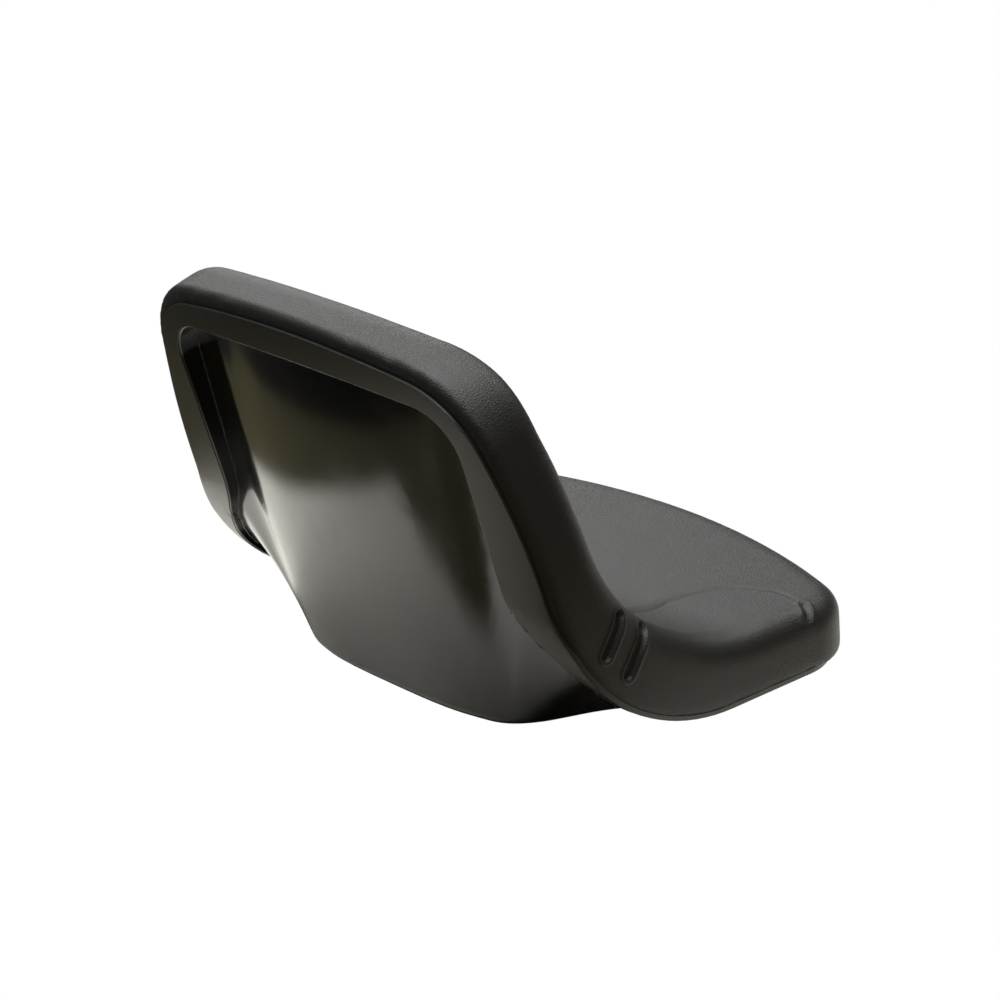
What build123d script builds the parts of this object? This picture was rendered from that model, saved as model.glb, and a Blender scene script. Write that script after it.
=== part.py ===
from build123d import *
from math import cos, radians, sin, tan
import os

# Bucket seat of a garden tractor: a deep-drawn steel pan, one moulded foam cushion that fills it,
# and four captive nuts. Millimetres. X runs across the seat, the sitter faces -Y, and Z is up.
# The origin is the middle of the mounting holes, on the pan's underside.

# Side view: the line of the cushion's rear and bottom face on the middle plane
heel_y = 134.7
heel_z = 3.9
seat_pitch = 4.9
back_lean = 19.0
heel_bend = 178.0
back_length = 348.0
wrap_radius = 2100.0

# Outline of the cushion, square to the seat and square to the back
seat_width = 474.0
nose_y = -195.0
seat_mid_z = 43.0
nose_bow = 46.0
nose_corner_r = 52.0
side_straight = 100.0
shoulder_width = 392.0
shoulder_drop = 20.0
shoulder_r = 90.0

# Section of the cushion, its hips raised between seat and back, and its face dished across the seat
seat_pad = 55.0
back_pad = 51.0
hip_y = 13.0
hip_rise = 30.0
hip_bend = 150.0
dish_radius = 1300.0
sitting_edge_r = 22.0
rear_edge_r = 4.0
foam_gap = 0.3

# Pan sheet, and the flange that the cushion's rim rests on
sheet = 1.6
flange_inset = 11.0
flange_inset_low = 2.0
flange_low_s = 95.0
flange_high_s = 140.0
flange_foot_r = 60.0

# Opening inside the flange, where the sheet is drawn
opening_width = 358.0
opening_width_low = 444.0
opening_low_s = 60.0
opening_high_s = 130.0
opening_foot_r = 60.0
opening_drop = 38.5
opening_crown = 10.0
opening_corner_r = 42.0
opening_front_y = -163.0
opening_front_bow = 20.0
opening_front_r = 40.0

# Drawn form: flat tray, rear panel, and the gutter between panel and flange
tray_z = 1.0
tray_front_y = -118.0
ramp_front_y = -150.0
corner_r = 15.0
panel_base_y = 143.5
panel_knee_y = 200.0
panel_knee_z = 145.0
panel_top_y = 239.0
panel_bow = 14.0
panel_width = 232.0
base_bow = 32.0
base_width = 294.0
base_power = 3.7
tray_width = 252.0
flank_width = 452.0
flank_bend = 0.08
flank_power = 2.5
gutter_width = 330.0
gutter = 22.0
rim_step = 3.0
rim_bend = 160.0
corner_room = 1.05

# Mounting platform, holes and captive nuts
platform_x = 236.0
platform_y = 176.0
platform_r = 24.0
hole_spacing_x = 203.2
hole_spacing_y = 139.7
hole_r = 4.6
nut_bore_r = 4.2
nut_flats = 14.0
nut_height = 7.0
nut_room = 3.0
bolt_room = 14.0

# Working values
seat_a = radians(seat_pitch)
back_a = radians(back_lean)
half_width = seat_width / 2
reach = 500.0
fill_depth = 40.0
behind_depth = 120.0
overlap = 1.0
wrap_angle = 18.0
tub_spans = 28
seat_plane = Plane((0, 0, seat_mid_z), x_dir=(1, 0, 0), z_dir=(0, sin(seat_a), cos(seat_a)))
back_plane = Plane((0, heel_y, heel_z), x_dir=(1, 0, 0), z_dir=(0, -cos(back_a), sin(back_a)))


def heel(seat_out, back_out):
    """Where the seat line and the back line meet, each moved outwards by its own offset."""
    det = -cos(back_a) * cos(seat_a) - sin(back_a) * sin(seat_a)
    y = (seat_out * sin(back_a) - back_out * cos(seat_a)) / det
    z = (seat_out * cos(back_a) + back_out * sin(seat_a)) / det
    return heel_y + y, heel_z + z


def side_line(seat_out, back_out, bend):
    """The side view's line, from past the nose to past the crown."""
    y, z = heel(seat_out, back_out)
    front = (y - reach * cos(seat_a), z + reach * sin(seat_a))
    top = (y + reach * sin(back_a), z + reach * cos(back_a))
    return FilletPolyline(front, (y, z), top, radius=bend)


def sitting_line():
    """The side view's line of the cushion's face: seat, raised hip and back."""
    y, z = heel(-seat_pad, -back_pad)
    front = (y - reach * cos(seat_a), z + reach * sin(seat_a))
    hip_z = z + (y - hip_y) * tan(seat_a)
    rise = radians(hip_rise) - seat_a
    run = (z + (hip_y - y) / tan(back_a) - hip_z) / (tan(rise) - 1 / tan(back_a))
    foot = (hip_y + run, hip_z + run * tan(rise))
    top = (y + reach * sin(back_a), z + reach * cos(back_a))
    return FilletPolyline(front, (hip_y, hip_z), foot, top, radius=hip_bend)


def wrapped_layer(rear, sitting, radius=wrap_radius):
    """The layer between two side lines, wrapped round the sitter about a far upright axis."""
    axis = Axis((0, heel_y - radius, 0), (0, 0, 1))
    angle = wrap_angle * wrap_radius / radius
    loop = rear + Line(rear @ 1, sitting @ 1) + sitting + Line(sitting @ 0, rear @ 0)
    face = Plane.YZ * make_face(loop)
    return revolve(face.rotate(axis, -angle / 2), axis, angle)


def seat_prism(width, front_y, bow, corner_radius):
    """The seat's outline square to the seat, with a bowed front, open to the rear."""
    half = width / 2
    front = ThreePointArc((-half, front_y + bow), (0, front_y), (half, front_y + bow))
    sides = Polyline((half, front_y + bow), (half, reach), (-half, reach), (-half, front_y + bow))
    face = make_face(front + sides)
    corners = [v for v in face.vertices() if v.Y < reach / 2]
    return extrude(seat_plane * fillet(corners, corner_radius), reach, both=True)


def back_prism(foot, shoulder, crown, corner_radius, foot_radius=None):
    """The backrest's outline square to the back: straight foot, curved side and bowed crown."""
    (side_x, side_s), (top_x, top_s) = foot[-1], shoulder
    right = Polyline((foot[0][0], -reach), *foot)
    right += Bezier((side_x, side_s), (side_x, (side_s + top_s) / 2), (top_x, top_s))
    left = mirror(right, about=Plane.YZ)
    top = ThreePointArc((top_x, top_s), (0, crown), (-top_x, top_s))
    base = Line((-foot[0][0], -reach), (foot[0][0], -reach))
    face = make_face(right + top + left + base)
    face = fillet([v for v in face.vertices() if v.Y > top_s - overlap], corner_radius)
    if foot_radius:
        low, high = foot[0][1] - overlap, side_s + overlap
        face = fillet([v for v in face.vertices() if low < v.Y < high], foot_radius)
    return extrude(back_plane * face, reach, both=True)


def cushion_outline():
    """The cushion's own outline, as a solid through everything."""
    plan = seat_prism(seat_width, nose_y, nose_bow, nose_corner_r)
    shoulder = (shoulder_width / 2, back_length - shoulder_drop)
    return plan & back_prism([(half_width, side_straight)], shoulder, back_length, shoulder_r)


def flange_outline():
    """The flange's edge: well inside the cushion's edge on the back, close to it below."""
    low_x = half_width - flange_inset_low
    high_x = half_width - flange_inset
    plan = seat_prism(2 * low_x, nose_y + flange_inset, nose_bow, nose_corner_r)
    rear = back_prism(
        [(low_x, flange_low_s), (high_x, flange_high_s)],
        (shoulder_width / 2 - flange_inset, back_length - shoulder_drop - flange_inset),
        back_length - flange_inset,
        shoulder_r - flange_inset,
        flange_foot_r,
    )
    return plan & rear


def opening(grow):
    """The opening inside the flange, its edge moved outwards by grow."""
    low_x = opening_width_low / 2 + grow
    high_x = opening_width / 2 + grow
    crown = back_length - opening_drop + grow
    plan = seat_prism(2 * low_x, opening_front_y - grow, opening_front_bow, opening_front_r)
    rear = back_prism(
        [(low_x, opening_low_s), (high_x, opening_high_s)],
        (high_x, crown - opening_crown),
        crown,
        opening_corner_r,
        opening_foot_r,
    )
    return plan & rear


def blend(start, end, share):
    """A point part of the way from one point to another."""
    return start[0] + (end[0] - start[0]) * share, start[1] + (end[1] - start[1]) * share


def ease(value, low, high):
    """0 below low, 1 above high, and a smooth rise between."""
    share = min(max((value - low) / (high - low), 0), 1)
    return share * share * (3 - 2 * share)


def flare(value, low, high):
    """0 below low, 1 above high, and between them a short bend, a steep rise and a slow end."""
    share = min(max((value - low) / (high - low), 0), 1)
    bent = share * share * (1 + flank_bend) / (share + flank_bend)
    return 1 - (1 - bent) ** flank_power


def tub_section(x, inset):
    """The pan's drawn form at one place across the seat, moved in from its outside by inset.

    In the middle it is the flat tray and the rear panel. Towards the sides the tray rises to the
    flange, and the panel falls into the gutter beside it.
    """
    low = flare(abs(x) + inset, tray_width / 2, flank_width / 2)
    high = ease(abs(x) + inset, panel_width / 2, gutter_width / 2)
    sag = x * x / (2 * wrap_radius)
    bow = panel_bow * min(abs(x) / (panel_width / 2), 1) ** 2
    depth = rim_step + inset - sheet
    heel_point = heel(-depth, -depth)

    def on_flange(y):
        return y, heel_point[1] + (heel_point[0] - sag - y) * tan(seat_a)

    top_z = heel_z + back_length * cos(back_a)
    rim = (heel_point[0] - sag, heel_point[1])
    rim_top = (rim[0] + (top_z - rim[1]) * tan(back_a) - (gutter - rim_step) / cos(back_a), top_z)
    rim_knee = blend(rim, rim_top, (panel_knee_z - rim[1]) / (top_z - rim[1]))
    rear = inset / cos(back_a) + bow
    start = on_flange(-reach)
    ramp = on_flange(ramp_front_y + inset)
    front = blend((tray_front_y + inset, tray_z + inset), on_flange(tray_front_y + inset), low)
    base_y = panel_base_y - base_bow * min(2 * abs(x) / base_width, 1) ** base_power
    corner = blend((base_y - inset / cos(back_a), tray_z + inset), rim, low)
    knee = blend((panel_knee_y - rear, panel_knee_z), rim_knee, high)
    top = blend((panel_top_y - rear, top_z), rim_top, high)
    bend = corner_r - inset + (rim_bend - corner_r) * low
    rise = Vector(*knee) - Vector(*corner)
    turn = (Vector(*corner) - Vector(*front)).get_angle(rise)
    tangent = bend * tan(radians(turn / 2))
    join = blend(corner, knee, corner_room * tangent / rise.length)
    run = (front[0] - ramp[0]) / 2
    line = Line(start, ramp)
    line += Bezier(ramp, (ramp[0] + run, ramp[1]), (front[0] - run, front[1]), front)
    line += FilletPolyline(front, corner, join, radius=bend)
    line += Bezier(join, knee, top)
    line += Polyline(top, (top[0], reach), (start[0], reach), start)
    return Plane((x, 0, 0), x_dir=(0, 1, 0), z_dir=(1, 0, 0)) * make_face(line)


def tub(inset):
    """Everything on the sitter's side of the pan's drawn form."""
    places = [half_width * (2 * i / tub_spans - 1) for i in range(tub_spans + 1)]
    return loft([tub_section(x, inset) for x in places])


def sitter_side(rear_out, grow):
    """The pan's outer form, or the space inside it, filled in towards the sitter."""
    front_out = -fill_depth - grow
    rear = side_line(rear_out, rear_out, heel_bend + rear_out)
    front = side_line(front_out, front_out, heel_bend + front_out)
    mouth = opening(grow)
    return wrapped_layer(rear, front) - mouth + (tub(sheet - rear_out) & mouth)


def seat_pan(holes):
    """The drawn sheet with its flange, mounting platform and bolt holes."""
    drawn = (sitter_side(sheet, 0) & flange_outline()) - sitter_side(0, sheet)
    platform = extrude(RectangleRounded(platform_x, platform_y, platform_r), tray_z + sheet)
    inside = RectangleRounded(platform_x - 2 * sheet, platform_y - 2 * sheet, platform_r - sheet)
    hollow = Pos(Z=sheet) * extrude(inside, tray_z + sheet)
    hole = extrude(Circle(hole_r), 2 * sheet)
    return drawn + platform - hollow - [place * hole for place in holes]


def rim_edges(body, low, high):
    """The edges round a body's wrapped faces that lie between two depths from the rear line."""

    def depth(point):
        radius = ((point.Y - heel_y + wrap_radius) ** 2 + point.X**2) ** 0.5
        return rear_line.distance_to(Vertex(heel_y - wrap_radius + radius, point.Z))

    wrapped = [f for f in body.faces() if f.geom_type in (GeomType.CONE, GeomType.TORUS)]
    faces = [f for f in wrapped if low < depth(f.center(CenterOf.GEOMETRY)) < high]
    edges = [e for f in faces for e in f.edges()]
    return [e for e in edges if sum(e.is_same(other) for other in edges) == 1]


def seat_cushion(holes):
    """The moulded cushion: a rounded pad, and the foam behind it that fills the pan."""
    sitter = side_line(-reach / 2, -reach / 2, overlap)
    pad = wrapped_layer(rear_line, sitter) & cushion_outline()
    pad -= wrapped_layer(sitting_line(), side_line(-reach, -reach, overlap), dish_radius)
    pad = fillet(rim_edges(pad, back_pad / 2, reach), sitting_edge_r)
    pad = fillet(rim_edges(pad, -overlap, overlap), rear_edge_r)
    mouth = opening(sheet + foam_gap)
    inside = tub(sheet + foam_gap)
    deep = side_line(behind_depth, behind_depth, heel_bend)
    behind = wrapped_layer(deep, side_line(-overlap, -overlap, heel_bend))
    foam = pad - (mouth - inside) + (behind & mouth & inside)
    pocket = extrude(Circle(nut_flats / 2 + nut_room), sheet + nut_height + bolt_room)
    return foam - [place * pocket for place in holes]


def mounting_nuts(holes):
    """The captive hexagon nuts on the pan's inside, one over each hole."""
    nut = extrude(RegularPolygon(nut_flats / 2, 6, major_radius=False), nut_height)
    nut -= extrude(Circle(nut_bore_r), nut_height)
    return Compound([Pos(Z=sheet) * place * nut for place in holes])


rear_line = side_line(0, 0, heel_bend)
bolt_places = list(GridLocations(hole_spacing_x, hole_spacing_y, 2, 2))
os.makedirs("parts", exist_ok=True)
export_step(seat_pan(bolt_places), "parts/seat_pan.step")
export_step(seat_cushion(bolt_places), "parts/seat_cushion.step")
export_step(mounting_nuts(bolt_places), "parts/mounting_nuts.step")
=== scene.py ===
from math import cos, exp, radians, sin

import bmesh
import bpy
from mathutils import Matrix, Vector


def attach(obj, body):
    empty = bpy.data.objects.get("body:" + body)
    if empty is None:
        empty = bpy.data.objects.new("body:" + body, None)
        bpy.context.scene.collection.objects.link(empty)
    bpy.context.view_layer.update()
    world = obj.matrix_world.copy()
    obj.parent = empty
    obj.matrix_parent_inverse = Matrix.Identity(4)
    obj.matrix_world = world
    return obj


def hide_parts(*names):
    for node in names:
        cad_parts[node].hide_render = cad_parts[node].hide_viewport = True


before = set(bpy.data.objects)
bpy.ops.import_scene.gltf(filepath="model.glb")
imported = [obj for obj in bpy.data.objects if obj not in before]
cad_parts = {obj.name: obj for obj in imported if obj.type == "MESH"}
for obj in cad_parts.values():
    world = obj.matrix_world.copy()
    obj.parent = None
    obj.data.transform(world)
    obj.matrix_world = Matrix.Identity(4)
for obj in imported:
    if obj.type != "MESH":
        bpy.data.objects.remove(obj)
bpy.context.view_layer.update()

# Seat pan: one sheet of 1.6 mm steel, deep drawn into a tub with a flange round it and sprayed with
# gloss black enamel. It carries everything else and bolts to the tractor from below.

MM = 0.001
JOIN_GAP = 0.02 * MM
RIM_ROUND = 0.6 * MM
DRAW_ROUND = 1.3 * MM
BACK_LEAN = radians(19.0)
SHEET_CORNER = radians(50)
FLOW_LIMIT = radians(30)
SHADE_CORNER = radians(35)
OPENING_MIDDLE = Vector((0, 190, 180)) * MM


def merged_copy(name, node):
    """A new piece from a copy of a CAD node's mesh, with its loose triangles joined."""
    piece = bpy.data.objects.new(name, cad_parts[node].data.copy())
    bpy.context.scene.collection.objects.link(piece)
    joined = bmesh.new()
    joined.from_mesh(piece.data)
    bmesh.ops.remove_doubles(joined, verts=joined.verts, dist=JOIN_GAP)
    joined.to_mesh(piece.data)
    return piece, joined


def step(value, low, high):
    """0 below low, 1 above high, and a smooth rise between."""
    share = min(max((value - low) / (high - low), 0), 1)
    return share * share * (3 - 2 * share)


def smooth_shaded(piece, mesh, corner):
    """Give a piece its mesh, shaded smooth up to a corner angle, with flat areas kept flat."""
    bmesh.ops.recalc_face_normals(mesh, faces=mesh.faces)
    for face in mesh.faces:
        face.smooth = True
    mesh.to_mesh(piece.data)
    mesh.free()
    piece.data.set_sharp_from_angle(angle=corner)
    even = piece.modifiers.new("even_shading", "WEIGHTED_NORMAL")
    even.weight = 100
    even.keep_sharp = True


def bent(edge, angle):
    """Whether a mesh edge is a corner sharper than an angle."""
    return len(edge.link_faces) == 2 and edge.calc_face_angle() > angle


def spread(start, limit):
    """The faces that join a face without a corner sharper than the limit."""
    found = {start}
    queue = [start]
    while queue:
        for edge in queue.pop().edges:
            for face in edge.link_faces:
                if face not in found and not bent(edge, limit):
                    found.add(face)
                    queue.append(face)
    return found


pan, work = merged_copy("drawn_pan", "seat_pan")
work.normal_update()
rearwards = Vector((0, cos(BACK_LEAN), -sin(BACK_LEAN)))
facing = [f for f in work.faces if f.normal.dot(rearwards) > 0.98]
flange = spread(max(facing, key=lambda f: f.calc_center_median().z), FLOW_LIMIT)

# Corners where the flange turns into the gutter's wall get the draw's round, the rest a small one.
draw_edges = []
rim_edges = []
for edge in [e for e in work.edges if bent(e, SHEET_CORNER)]:
    walls = [f for f in edge.link_faces if f not in flange]
    inwards = len(walls) == 1 and walls[0].normal.dot(OPENING_MIDDLE - edge.verts[0].co) > 0
    (draw_edges if inwards else rim_edges).append(edge)

# The faces of the flange and of its cut edge, and the wall's normals along the drawn edge, are kept
# for the lip.
cut = set()
for edge in rim_edges:
    walls = [f for f in edge.link_faces if f not in flange]
    if len(walls) == 1 and walls[0] not in cut:
        cut |= spread(walls[0], FLOW_LIMIT)
work.faces.index_update()
work.verts.index_update()
lip_faces = {f.index for f in flange}
cut_faces = {f.index for f in cut}
pull = {}
for edge in draw_edges:
    wall = [f for f in edge.link_faces if f not in flange][0]
    for v in edge.verts:
        pull[v.index] = pull.get(v.index, Vector()) + wall.normal
lip_mesh = work.copy()

bmesh.ops.bevel(
    work, geom=draw_edges, offset=DRAW_ROUND, affect="EDGES", segments=3, profile=0.5, material=-1,
    clamp_overlap=False,
)
rim_edges = [e for e in rim_edges if e.is_valid]
bmesh.ops.bevel(
    work, geom=rim_edges, offset=RIM_ROUND, affect="EDGES", segments=2, profile=0.5, material=-1,
    clamp_overlap=False,
)
smooth_shaded(pan, work, SHADE_CORNER)


def linear(hex_colour):
    """An sRGB hex colour as the linear RGBA that a socket takes."""
    parts = [int(hex_colour[i:i + 2], 16) / 255 for i in (1, 3, 5)]
    lit = [p / 12.92 if p <= 0.04045 else ((p + 0.055) / 1.055) ** 2.4 for p in parts]
    return (*lit, 1.0)


def add(tree, kind, links=None, values=None, **settings):
    """One shader node with its settings, its socket values and what is linked into it."""
    made = tree.nodes.new(kind)
    for name, value in settings.items():
        setattr(made, name, value)
    for socket, value in (values or {}).items():
        made.inputs[socket].default_value = value
    for socket, source in (links or {}).items():
        tree.links.new(source, made.inputs[socket])
    return made


def new_material(name):
    """An empty node material and its tree."""
    material = bpy.data.materials.new(name)
    material.use_nodes = True
    material.node_tree.nodes.clear()
    return material, material.node_tree


# Sprayed black enamel on drawn steel: a deep gloss that shows the floor and the lamps, with a faint
# orange peel of about 4 mm and dull patches of about 70 mm where it was handled.
enamel, tree = new_material("gloss_black_enamel")
place = add(tree, "ShaderNodeTexCoord").outputs["Object"]
peel = add(tree, "ShaderNodeTexNoise", {"Vector": place}, {"Scale": 1 / (4 * MM), "Detail": 2.0})
haze = add(tree, "ShaderNodeTexNoise", {"Vector": place}, {"Scale": 14.0, "Detail": 4.0})
rough = add(
    tree, "ShaderNodeMapRange", {"Value": haze.outputs["Fac"]},
    {"From Min": 0.35, "From Max": 0.7, "To Min": 0.14, "To Max": 0.22},
)
relief = add(
    tree, "ShaderNodeBump", {"Height": peel.outputs["Fac"]},
    {"Strength": 0.06, "Distance": 0.4 * MM},
)
shader = add(
    tree, "ShaderNodeBsdfPrincipled",
    {"Roughness": rough.outputs["Result"], "Normal": relief.outputs["Normal"]},
    {"Base Color": linear("#070707"), "IOR": 1.52, "Coat Weight": 0.6, "Coat Roughness": 0.08},
)
add(tree, "ShaderNodeOutputMaterial", {"Surface": shader.outputs["BSDF"]})
pan.data.materials.clear()
pan.data.materials.append(enamel)
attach(pan, "root")
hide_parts("seat_pan")

# Captive nuts: four zinc plated hexagon nuts welded to the inside of the pan over the bolt holes.
# Only their bores show from below.

# Bright zinc plate: a pale grey metal with a faint bloom, in specks of 2.5 mm.
zinc, tree = new_material("zinc_plate")
place = add(tree, "ShaderNodeTexCoord").outputs["Object"]
bloom = add(tree, "ShaderNodeTexNoise", {"Vector": place}, {"Scale": 1 / (2.5 * MM), "Detail": 3.0})
rough = add(
    tree, "ShaderNodeMapRange", {"Value": bloom.outputs["Fac"]},
    {"From Min": 0.3, "From Max": 0.7, "To Min": 0.28, "To Max": 0.45},
)
shader = add(
    tree, "ShaderNodeBsdfPrincipled", {"Roughness": rough.outputs["Result"]},
    {"Base Color": linear("#c4c3bd"), "Metallic": 1.0},
)
add(tree, "ShaderNodeOutputMaterial", {"Surface": shader.outputs["BSDF"]})
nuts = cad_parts["mounting_nuts"]
nuts.data.materials.clear()
nuts.data.materials.append(zinc)

# Cushion: one moulding of black polyurethane foam with its own grained skin, poured on to the pan.
# The mould leaves a crease over each thigh and two flutes in each side wall.

SKIN_VOXEL = 3.3 * MM

# Lines on the sitter's right, in mm; the left side mirrors them. The crease is seen from above as
# (x, y), the notch at its front end is (x, y, z), and the flutes are seen from the side as (y, z).
CREASE = [
    (-168, 60), (-158, 45), (-150, 25), (-145.6, 6.6), (-145.4, -10.9), (-139.5, -36.1),
    (-142, -56), (-146.3, -74.3), (-153.7, -87.5), (-160.9, -94.2), (-172.6, -101.1),
    (-185.1, -107.1), (-199.7, -108.7), (-214, -107), (-224, -106),
]
NOTCH = [
    (-223, -106.3, 76.4), (-226.1, -105.6, 74.9), (-230.4, -103.7, 71.4), (-233.4, -101.9, 67.5),
]
FLUTES = [
    [(105, 121), (107, 116), (110, 110), (115.7, 100), (119.5, 93.5)],
    [(78.5, 103), (81, 98.5), (83.5, 94.5), (88, 87.5), (93.5, 77.8), (96.5, 72.5)],
]
WALL_X = 205 * MM
SHOULDER = Vector((195, 192, 308)) * MM

# Depths and heights of the moulded lines, and how much fuller the back is, in mm.
CREASE_DEPTH = 1.4
CREASE_SWELL = 1.2
NOTCH_DEPTH = 1.7
NOTCH_BEAD = 0.8
FLUTE_DEPTH = 3.4
FLUTE_BEAD = 0.8
BACK_FULLER = 1.0
SHOULDER_FULLER = 2.0


def hump(gap, middle, width):
    """A smooth rise to 1 at a distance from a line, falling off over a width."""
    return exp(-(((gap - middle) / width) ** 2))


def from_path(point, path):
    """How far a point is from a path, in mm, on which side, and how far along, from 0 to 1."""
    best = (1e9, 1, 0)
    for i in range(len(path) - 1):
        start, run = Vector(path[i]), Vector(path[i + 1]) - Vector(path[i])
        share = min(max((point - start).dot(run) / run.length_squared, 0), 1)
        gap = point - start - run * share
        if gap.length < best[0]:
            side = 1 if run.x * gap.y - run.y * gap.x > 0 else -1
            best = (gap.length, side, (i + share) / (len(path) - 1))
    return best


cushion, work = merged_copy("moulded_cushion", "seat_cushion")
work.free()
remesh = cushion.modifiers.new("even_skin", "REMESH")
remesh.mode = "VOXEL"
remesh.voxel_size = SKIN_VOXEL
shaped = bpy.data.meshes.new_from_object(
    cushion.evaluated_get(bpy.context.evaluated_depsgraph_get())
)
cushion.modifiers.clear()
cushion.data = shaped

work = bmesh.new()
work.from_mesh(cushion.data)
for _ in range(3):
    bmesh.ops.smooth_vert(
        work, verts=work.verts, factor=0.5, use_axis_x=True, use_axis_y=True, use_axis_z=True,
    )


def on_crease(spot):
    """Whether a point of the cushion lies near the thigh crease."""
    if spot.z < 55 * MM or not -125 * MM < spot.y < 75 * MM or abs(spot.x) < 120 * MM:
        return False
    return from_path(Vector((-abs(spot.x), spot.y)) / MM, CREASE)[0] < 9


def on_flute(spot):
    """Whether a point of the cushion lies near a flute of the side wall."""
    if abs(spot.x) < WALL_X or not 60 * MM < spot.y < 135 * MM or spot.z > 140 * MM:
        return False
    return min(from_path(Vector((spot.y, spot.z)) / MM, f)[0] for f in FLUTES) < 12


# Finer faces along the lines, and then each vertex is pressed in or swelled out along its normal.
fine = [
    f for f in work.faces
    if on_crease(f.calc_center_median()) or on_flute(f.calc_center_median())
]
edges = list({e for f in fine for e in f.edges})
bmesh.ops.subdivide_edges(work, edges=edges, cuts=2, use_grid_fill=True)
work.normal_update()

moves = []
for v in work.verts:
    move = 0.0
    across = abs(v.co.x)
    over_seat = v.normal.z > 0.1 and v.co.z > 50 * MM and -130 * MM < v.co.y < 90 * MM
    if over_seat and across > 100 * MM:
        gap, side, along = from_path(Vector((-across, v.co.y)) / MM, CREASE)
        shown = step(along, 0.0, 0.25) * (1 - 0.8 * step(along, 0.78, 0.92))
        groove = CREASE_DEPTH * hump(gap, 0, 1.8)
        swell = CREASE_SWELL * hump(gap, 10, 7) * (1 - step(along, 0.25, 0.5)) if side > 0 else 0
        move += shown * (swell - groove)
        gap = from_path(Vector((-across, v.co.y, v.co.z)) / MM, NOTCH)[0]
        move -= NOTCH_DEPTH * hump(gap, 0, 2.6) - NOTCH_BEAD * hump(gap, 5.5, 1.8)
    if across > WALL_X and 55 * MM < v.co.y < 140 * MM and v.co.z < 145 * MM:
        for flute in FLUTES:
            gap = from_path(Vector((v.co.y, v.co.z)) / MM, flute)[0]
            move -= FLUTE_DEPTH * (1 - step(gap, 3.6, 6.2)) - FLUTE_BEAD * hump(gap, 7, 1.3)
    if v.co.z > 130 * MM:
        reach = Vector((max(across / MM - 150, 0), max(v.co.z / MM - 260, 0))).length
        shoulder = (Vector((across, v.co.y, v.co.z)) - SHOULDER).length / MM
        fuller = BACK_FULLER * step(v.co.z / MM, 130, 200)
        fuller += SHOULDER_FULLER * hump(shoulder, 0, 45)
        move += fuller * step(reach, 55, 63) * (1 - step(v.normal.y, 0.4, 0.75))
    moves.append(v.normal * move * MM)
for v, move in zip(work.verts, moves):
    v.co += move
for face in work.faces:
    face.smooth = True
work.to_mesh(cushion.data)
work.free()

# Moulded foam skin: a matte black with a fine leather grain. Its cells are drawn at about 2.1 mm,
# coarser than real, so that they show.
skin, tree = new_material("grained_foam_skin")
place = add(tree, "ShaderNodeTexCoord").outputs["Object"]
grain = add(
    tree, "ShaderNodeTexVoronoi", {"Vector": place}, {"Scale": 480.0, "Randomness": 1.0},
    feature="DISTANCE_TO_EDGE",
)
relief = add(
    tree, "ShaderNodeBump", {"Height": grain.outputs["Distance"]},
    {"Strength": 0.8, "Distance": 0.5 * MM},
)
shader = add(
    tree, "ShaderNodeBsdfPrincipled", {"Normal": relief.outputs["Normal"]},
    {"Base Color": linear("#21201e"), "Roughness": 0.5, "IOR": 1.5},
)
add(tree, "ShaderNodeOutputMaterial", {"Surface": shader.outputs["BSDF"]})
cushion.data.materials.clear()
cushion.data.materials.append(skin)
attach(cushion, "root")
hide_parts("seat_cushion")

# Lip: the foam's own skin, flashed 0.7 mm thick over the flange when the cushion is moulded on to
# the pan. It wraps the cut edge, meets the cushion's wall and ends just short of the drawn edge.

LIP = 0.7 * MM
LIP_WALL = 1.1 * MM
LIP_RISE = 2.5 * MM
LIP_SHORT = 1.5 * MM
LIP_ROUND = 0.35 * MM

lip = bpy.data.objects.new("flange_lip", bpy.data.meshes.new("flange_lip"))
bpy.context.scene.collection.objects.link(lip)
lip_mesh.verts.ensure_lookup_table()
for index, wall in pull.items():
    lip_mesh.verts[index].co -= wall.normalized() * LIP_SHORT
others = [f for f in lip_mesh.faces if f.index not in lip_faces and f.index not in cut_faces]
rear = {v for f in lip_mesh.faces if f.index in lip_faces for v in f.verts}
bmesh.ops.delete(lip_mesh, geom=others, context="FACES")
lip_mesh.normal_update()
lifts = {v: v.normal * LIP for v in lip_mesh.verts}
for v in [v for v in lip_mesh.verts if v not in rear]:
    near = [e.other_vert(v) for e in v.link_edges if e.other_vert(v) in rear]
    root = min(near, key=lambda other: (other.co - v.co).length)
    lifts[v] += (v.co - root.co).normalized() * LIP_RISE
for v, lift in lifts.items():
    v.co += lift
lip_mesh.normal_update()
made = bmesh.ops.extrude_face_region(lip_mesh, geom=lip_mesh.faces[:], use_keep_orig=True)["geom"]
sunk = [v for v in made if isinstance(v, bmesh.types.BMVert)]
for v in sunk:
    v.co -= v.normal * LIP_WALL
lip_mesh.normal_update()
corners = [e for e in lip_mesh.edges if bent(e, SHEET_CORNER)]
bmesh.ops.bevel(
    lip_mesh, geom=corners, offset=LIP_ROUND, affect="EDGES", segments=2, profile=0.5, material=-1,
    clamp_overlap=False,
)
smooth_shaded(lip, lip_mesh, SHADE_CORNER)

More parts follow.
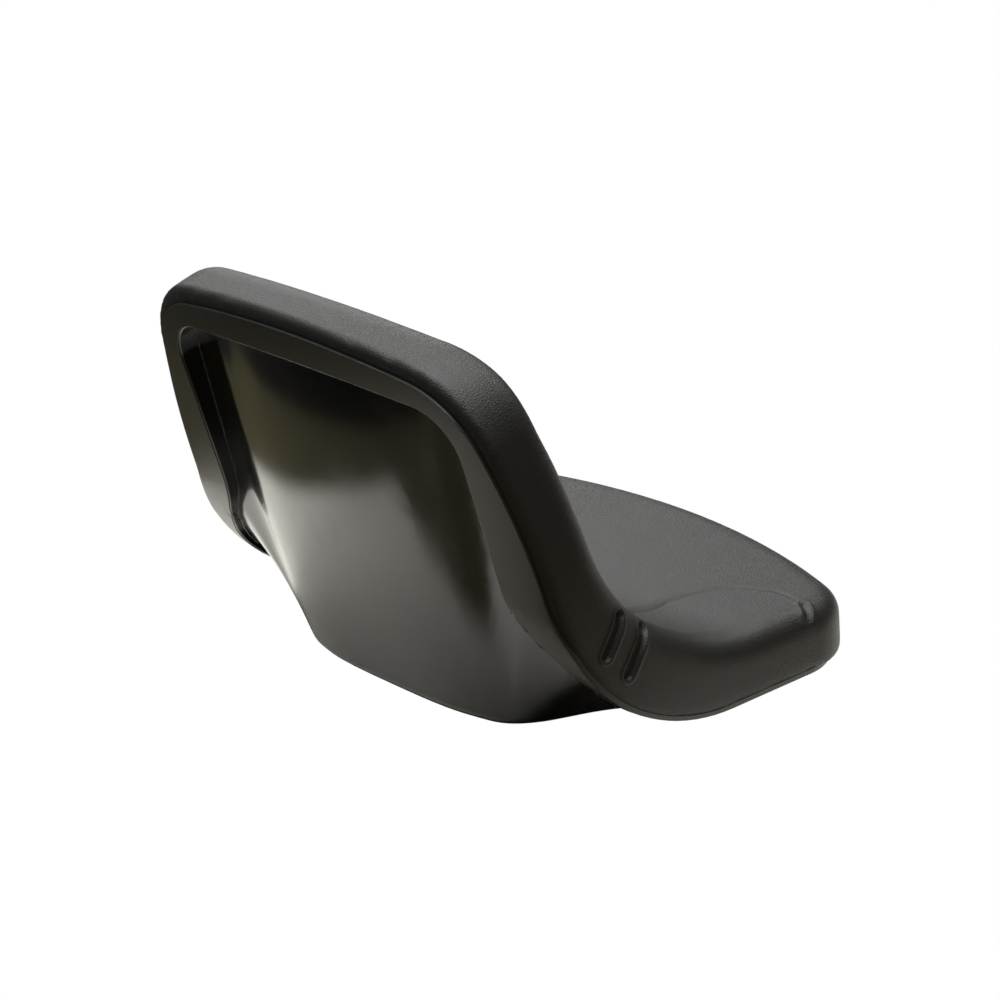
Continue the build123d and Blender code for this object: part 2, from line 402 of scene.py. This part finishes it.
# The same foam, smoother and shinier where it set against the mould, with cells of about 1.6 mm,
# coarser than real, so that they show.
flash, tree = new_material("flashed_foam_skin")
place = add(tree, "ShaderNodeTexCoord").outputs["Object"]
grain = add(
    tree, "ShaderNodeTexVoronoi", {"Vector": place}, {"Scale": 620.0, "Randomness": 1.0},
    feature="DISTANCE_TO_EDGE",
)
relief = add(
    tree, "ShaderNodeBump", {"Height": grain.outputs["Distance"]},
    {"Strength": 0.3, "Distance": 0.35 * MM},
)
shader = add(
    tree, "ShaderNodeBsdfPrincipled", {"Normal": relief.outputs["Normal"]},
    {"Base Color": linear("#333331"), "Roughness": 0.29, "IOR": 1.5},
)
add(tree, "ShaderNodeOutputMaterial", {"Surface": shader.outputs["BSDF"]})
lip.data.materials.clear()
lip.data.materials.append(flash)
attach(lip, "root")

# Floor, light and camera: white to the camera. To all other rays the floor carries a painted pool
# of light with a sharp corner, painted shade on the sitter's right and a painted dark field round
# it, and the world is dim; the enamel mirrors this as a painted reflection. One large soft light
# hangs overhead, with weaker ones in front and at the side, and the camera is behind the seat on
# the sitter's right.

PAINTED_POOL_CORNER = (0.11, 0.414, 0)
FLOOR_RADIUS = 6.0
FLOOR_DROP = 0.5 * MM
SEAT_MIDDLE = (0, 0, 0.1)

white, tree = new_material("pale_floor")
path = add(tree, "ShaderNodeLightPath")
place = add(tree, "ShaderNodeTexCoord").outputs["Object"]


def inside(corner, inwards, soft):
    """1 on the inner side of a straight edge of the floor, 0 beyond it, with a soft step."""
    from_corner = add(tree, "ShaderNodeVectorMath", {0: place}, {1: corner}, operation="SUBTRACT")
    depth = add(
        tree, "ShaderNodeVectorMath", {0: from_corner.outputs["Vector"]}, {1: inwards},
        operation="DOT_PRODUCT",
    )
    return add(
        tree, "ShaderNodeMapRange", {"Value": depth.outputs["Value"]},
        {"From Min": -soft, "From Max": soft}, interpolation_type="SMOOTHSTEP",
    ).outputs["Result"]


# Edges of the painted pool of light, a pale patch on the floor that the enamel mirrors as a painted
# reflection.
left_edge = inside(PAINTED_POOL_CORNER, (0.655, -0.756, 0), 0.02)
right_edge = inside(PAINTED_POOL_CORNER, (-0.589, -0.808, 0), 0.025)
far_edge = inside((0.2, 0.47, 0), (-0.40, -0.916, 0), 0.02)
both = add(tree, "ShaderNodeMath", {0: left_edge, 1: right_edge}, operation="MULTIPLY")
# Painted shade: the pool turns dark olive beyond x = -0.32 m on the sitter's right, so that less
# light bounces on to the cushion's near walls.
painted_shade_edge = inside((-0.32, 0, 0), (1, 0, 0), 0.08)
painted_pool_and_shade = add(
    tree, "ShaderNodeMix", {0: painted_shade_edge}, {6: linear("#746a50"), 7: linear("#faf7ec")},
    data_type="RGBA",
)
# Painted dark field round the pool: olive grey this side of a far line, and beyond it near black
# that lightens further off.
away = add(tree, "ShaderNodeVectorMath", {0: place}, {1: (0.1, 0, 0)}, operation="DISTANCE")
beyond = add(
    tree, "ShaderNodeMapRange", {"Value": away.outputs["Value"]},
    {"From Min": 0.6, "From Max": 1.1, "To Min": 0.015, "To Max": 0.14},
)
dull = add(
    tree, "ShaderNodeMix", {0: far_edge, 6: beyond.outputs["Result"]}, {7: linear("#5f5b45")},
    data_type="RGBA",
)
# The painted pool of light inside its corner, the painted dark field outside it, seen by every ray
# but the camera's.
pool = add(
    tree, "ShaderNodeMix", {0: both.outputs["Value"], 6: dull.outputs[2], 7: painted_pool_and_shade.outputs[2]},
    data_type="RGBA",
)
paper = add(tree, "ShaderNodeBsdfDiffuse", {"Color": pool.outputs[2]})
glow = add(tree, "ShaderNodeEmission", values={"Color": (1, 1, 1, 1), "Strength": 1.0})
seen = add(
    tree, "ShaderNodeMixShader",
    {"Fac": path.outputs["Is Camera Ray"], 1: paper.outputs["BSDF"], 2: glow.outputs["Emission"]},
)
add(tree, "ShaderNodeOutputMaterial", {"Surface": seen.outputs["Shader"]})
floor = bpy.data.objects.new("floor", bpy.data.meshes.new("floor"))
bpy.context.scene.collection.objects.link(floor)
work = bmesh.new()
bmesh.ops.create_circle(
    work, cap_ends=True, segments=64, radius=FLOOR_RADIUS,
    matrix=Matrix.Translation((0, 0, -FLOOR_DROP)),
)
work.to_mesh(floor.data)
work.free()
floor.data.materials.append(white)

world = bpy.data.worlds.new("studio")
bpy.context.scene.world = world
world.use_nodes = True
tree = world.node_tree
tree.nodes.clear()
path = add(tree, "ShaderNodeLightPath")
dim = add(tree, "ShaderNodeBackground", values={"Color": (1, 1, 1, 1), "Strength": 0.025})
bright = add(tree, "ShaderNodeBackground", values={"Color": (1, 1, 1, 1), "Strength": 1.0})
seen = add(
    tree, "ShaderNodeMixShader",
    {
        "Fac": path.outputs["Is Camera Ray"],
        1: dim.outputs["Background"],
        2: bright.outputs["Background"],
    },
)
add(tree, "ShaderNodeOutputWorld", {"Surface": seen.outputs["Shader"]})


def soft_light(name, watts, width, depth, spot, aim):
    """A rectangular soft light at a spot, turned towards an aim point."""
    lamp = bpy.data.lights.new(name, "AREA")
    lamp.energy = watts
    lamp.shape = "RECTANGLE"
    lamp.size = width
    lamp.size_y = depth
    holder = bpy.data.objects.new(name, lamp)
    holder.location = spot
    holder.rotation_euler = (Vector(aim) - Vector(spot)).to_track_quat("-Z", "Y").to_euler()
    bpy.context.scene.collection.objects.link(holder)


soft_light("overhead", 82, 2.8, 1.7, (0.0, 0.45, 2.3), SEAT_MIDDLE)
soft_light("front", 22, 1.2, 0.8, (0.1, -1.5, 2.2), SEAT_MIDDLE)
soft_light("window", 18, 1.6, 1.2, (1.9, -1.0, 1.4), SEAT_MIDDLE)

lens = bpy.data.cameras.new("camera")
lens.sensor_width = 36
lens.lens = 126.97
lens.shift_x = -0.0149
lens.shift_y = 0.0016
camera = bpy.data.objects.new("camera", lens)
aim = Vector((0, 0.011, 0.1325))
camera.location = (-2.1099, 1.7980, 1.0761)
camera.rotation_euler = (aim - camera.location).to_track_quat("-Z", "Y").to_euler()
bpy.context.scene.collection.objects.link(camera)
bpy.context.scene.camera = camera
bpy.context.scene.view_settings.view_transform = "Standard"
